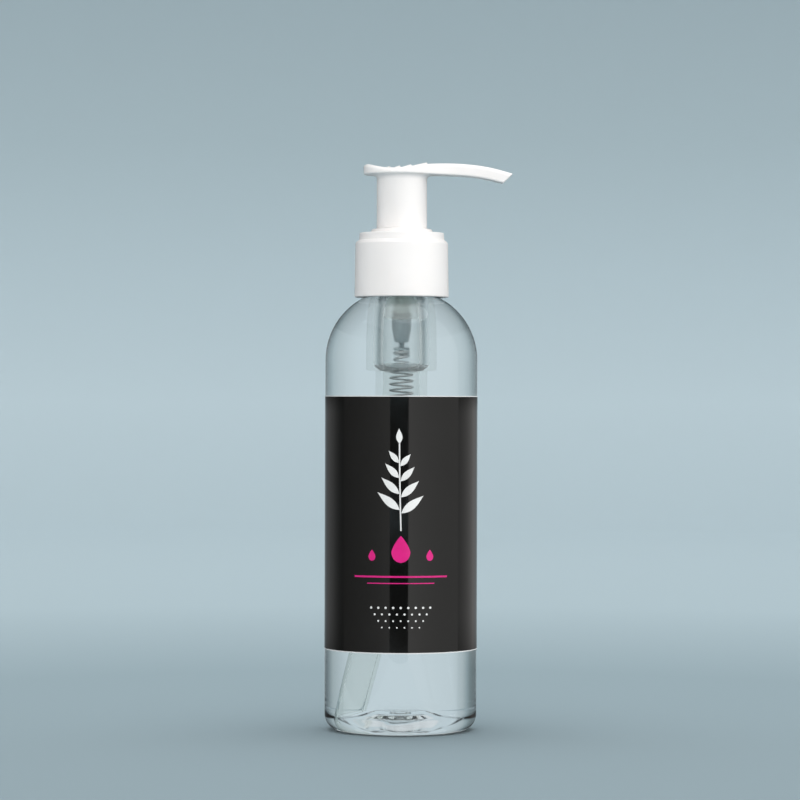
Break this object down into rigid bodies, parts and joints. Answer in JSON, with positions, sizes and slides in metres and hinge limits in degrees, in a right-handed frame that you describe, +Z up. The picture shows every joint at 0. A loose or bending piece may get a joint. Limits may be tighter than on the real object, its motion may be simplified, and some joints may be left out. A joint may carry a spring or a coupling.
{
  "type": "pump oil bottle",
  "caption": "Clear round-shouldered oil bottle with a dark wrap label and a white lotion pump: screw collar, press-down head with a drooping nozzle, sprung piston pump and dip tube inside.",
  "frame": {"origin": "on the bottle's axis, in the plane of its standing ring", "axes": "+Z up along the bottle's axis, +X the way the nozzle points, +Y to the label's gap at the back"},
  "size_m": [0.0579, 0.0472, 0.1754],
  "materials": {
    "clear_bottle": "clear blown PET, glossy",
    "label_film": "printed film, glossy black",
    "oil": "clear colourless oil",
    "natural_plastic": "natural translucent polypropylene",
    "gasket": "soft foamed washer, pale grey",
    "white_plastic": "white moulded polypropylene, satin gloss",
    "core_plastic": "grey moulded plastic",
    "steel": "stainless steel wire and ball"
  },
  "bodies": {
    "bottle": {"bottle_shell": "clear_bottle", "wrap_label": "label_film", "oil_fill": "oil"},
    "pump_unit": {"pump_housing": "natural_plastic", "dip_tube": "natural_plastic", "neck_gasket": "gasket", "retainer_ring": "white_plastic", "return_spring": "steel"},
    "collar": {"screw_collar": "white_plastic"},
    "plunger": {"pump_stem": "white_plastic", "valve_core": "core_plastic"},
    "piston": {"piston_seal": "natural_plastic"},
    "head": {"actuator_head": "white_plastic"},
    "ball": {"inlet_ball": "steel"}
  },
  "joints": [
    {"name": "pump_lift", "type": "slide", "parent": "bottle", "child": "pump_unit", "axis": [0, 0, 1], "range_m": [0, 0.00476], "deforming": ["oil_fill"]},
    {"name": "collar_turn", "type": "hinge", "parent": "pump_unit", "child": "collar", "pos_m": [0, 0, 0.144], "axis": [0, 0, 1], "range_deg": [0, 540]},
    {"name": "pump_stroke", "type": "slide", "parent": "pump_unit", "child": "plunger", "axis": [0, 0, -1], "range_m": [0, 0.0095], "stiffness_N_per_m": 600, "springref_m": -0.012, "deforming": ["return_spring"]},
    {"name": "head_swivel", "type": "hinge", "parent": "plunger", "child": "head", "pos_m": [0, 0, 0.163], "axis": [0, 0, 1], "continuous": true},
    {"name": "piston_slip", "type": "slide", "parent": "plunger", "child": "piston", "axis": [0, 0, 1], "range_m": [0, 0.0012]},
    {"name": "ball_lift", "type": "slide", "parent": "pump_unit", "child": "ball", "axis": [0, 0, 1], "range_m": [0, 0.0014]}
  ],
  "couplings": [
    {"joint": "collar_turn", "follows": "pump_lift", "rad_per_m": 1979}
  ]
}
